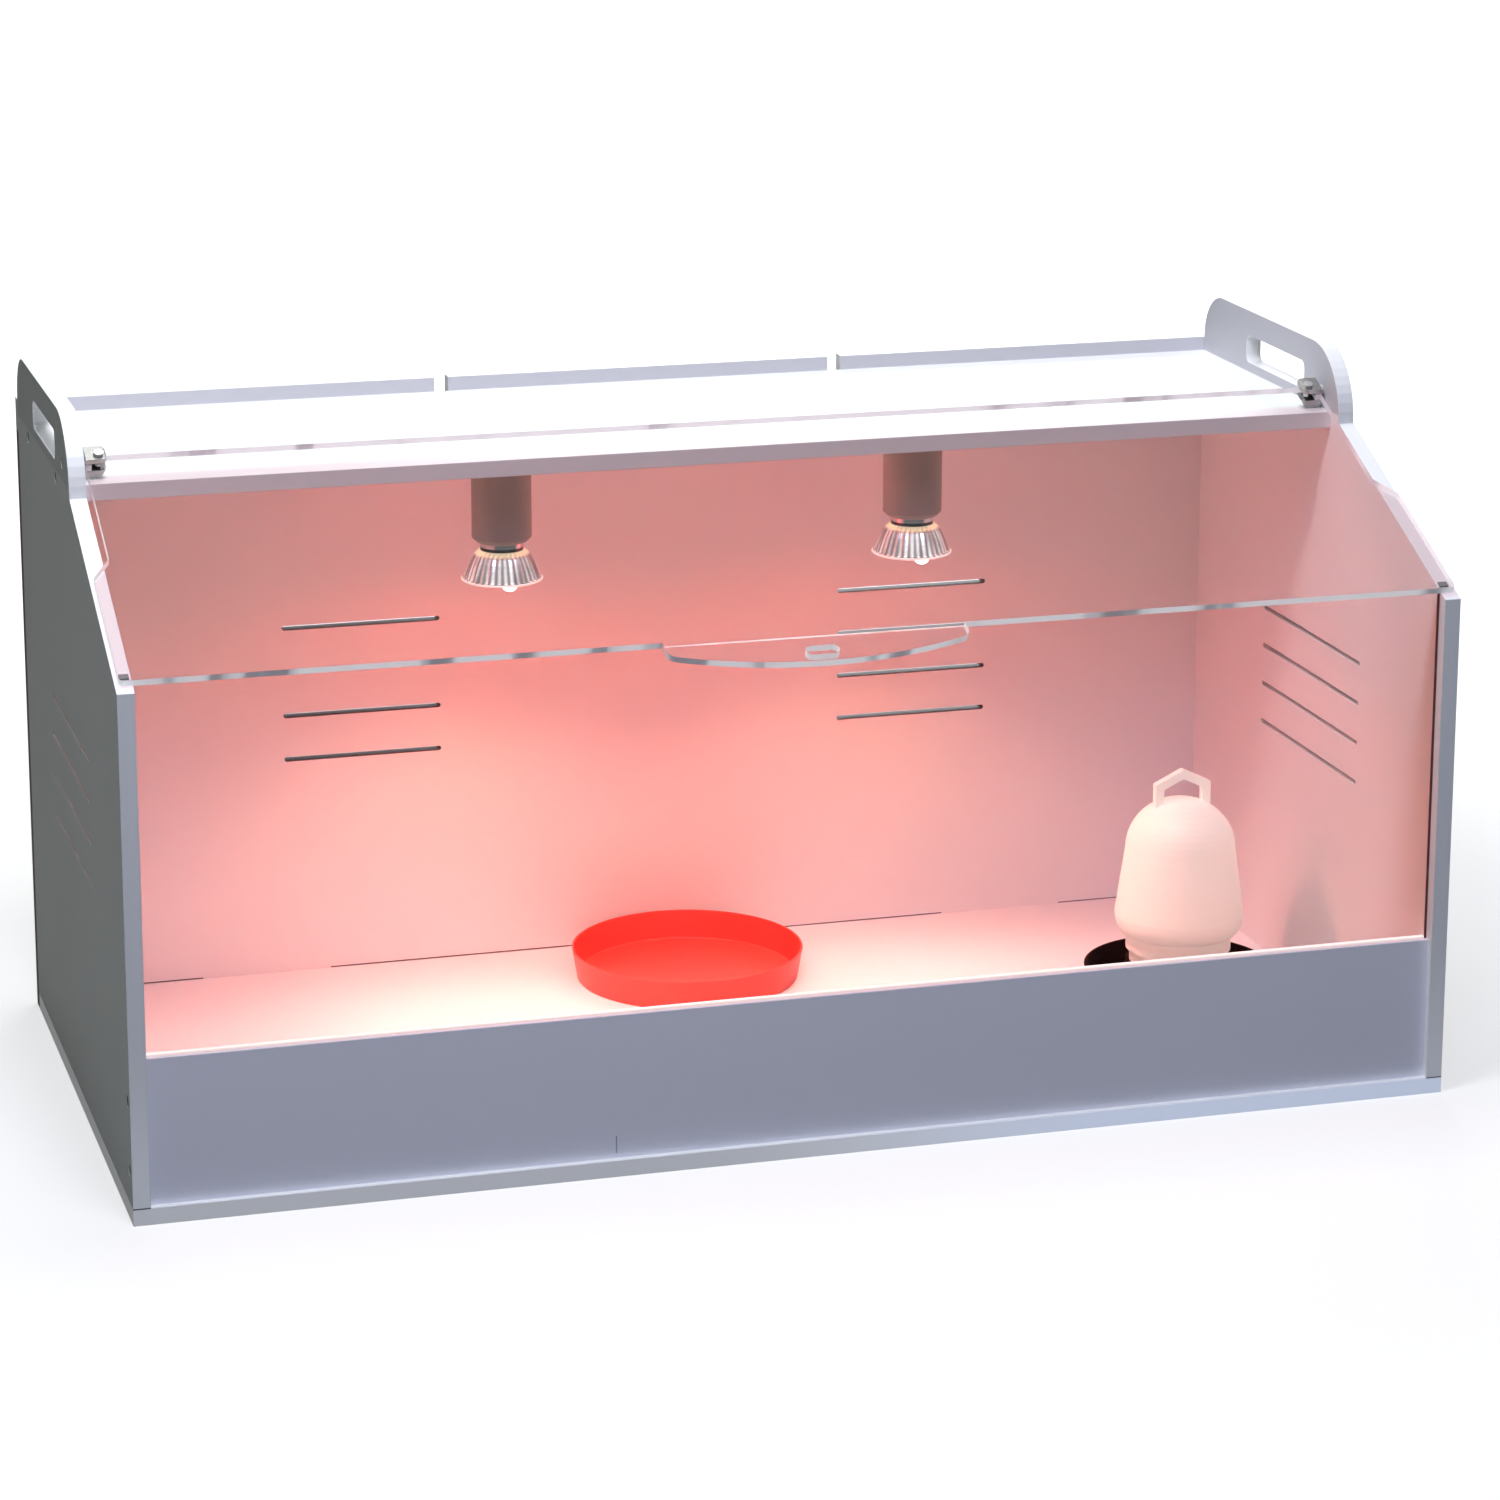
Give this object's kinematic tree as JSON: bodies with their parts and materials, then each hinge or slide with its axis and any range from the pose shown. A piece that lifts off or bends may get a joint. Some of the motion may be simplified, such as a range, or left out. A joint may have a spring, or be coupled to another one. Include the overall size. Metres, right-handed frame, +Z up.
{
  "type": "chick brooder box",
  "caption": "White panel brooder box with carrying ears, sloping clear hinged lid and clear front, heat lamps under the top, a round feed tray and a drinker inside",
  "frame": {"origin": "on the ground, under the middle of the box's floor", "axes": "+X to the box's right seen from the front, +Y from the front to the back, +Z up"},
  "size_m": [0.8, 0.4209, 0.4288],
  "materials": {
    "white_panel": "satin white sheet",
    "clear_sheet": "clear polished sheet",
    "nickel": "nickel plate",
    "steel": "zinc plated",
    "washer_plastic": "plain",
    "pad_rubber": "soft",
    "bumper_rubber": "soft",
    "holder_body": "unglazed",
    "contact_brass": "bare",
    "cap_metal": "bare",
    "collar_brass": "polished",
    "reflector_metal": "bright",
    "lens_glass": "frosted",
    "capsule_glass": "clear",
    "tray_red": "moulded",
    "dish_black": "moulded",
    "jar_ivory": "moulded"
  },
  "bodies": {
    "box": {"floor_panel": "white_panel", "left_side_panel": "white_panel", "right_side_panel": "white_panel", "back_panel": "white_panel", "top_panel": "white_panel", "front_panel": "white_panel", "front_window": "clear_sheet", "hinge_washers": "washer_plastic", "lid_bumpers": "bumper_rubber", "side_screws": "steel", "back_screws": "steel", "floor_screws": "steel", "holder_screws": "steel", "left_hinge_pin": "steel", "right_hinge_pin": "steel", "left_lampholder": "holder_body", "right_lampholder": "holder_body", "left_holder_shell": "contact_brass", "right_holder_shell": "contact_brass", "left_holder_contact": "contact_brass", "right_holder_contact": "contact_brass", "left_bulb_cap": "cap_metal", "right_bulb_cap": "cap_metal", "left_bulb_collar": "collar_brass", "right_bulb_collar": "collar_brass", "left_bulb_reflector": "reflector_metal", "right_bulb_reflector": "reflector_metal", "left_bulb_lens": "lens_glass", "right_bulb_lens": "lens_glass", "left_bulb_capsule": "capsule_glass", "right_bulb_capsule": "capsule_glass"},
    "lid": {"lid_panel": "clear_sheet", "left_hinge_clamp": "nickel", "right_hinge_clamp": "nickel", "clamp_pads": "pad_rubber", "clamp_screws": "steel"},
    "feed_tray": {"feed_tray": "tray_red"},
    "drinker_base": {"drinker_base": "dish_black"},
    "drinker_jar": {"drinker_jar": "jar_ivory"}
  },
  "joints": [
    {"name": "lid_hinge", "type": "hinge", "parent": "box", "child": "lid", "pos_m": [0, -0.007, 0.39921], "axis": [-1, 0, 0], "range_deg": [0, 180]},
    {"name": "tray_lift", "type": "slide", "parent": "box", "child": "feed_tray", "axis": [0, 0, 1], "range_m": [0, 0.12]},
    {"name": "drinker_lift", "type": "slide", "parent": "box", "child": "drinker_base", "axis": [0, 0, 1], "range_m": [0, 0.12]},
    {"name": "jar_twist", "type": "hinge", "parent": "drinker_base", "child": "drinker_jar", "pos_m": [0.302, -0.01, 0.03], "axis": [0, 0, 1], "range_deg": [0, 60]}
  ]
}
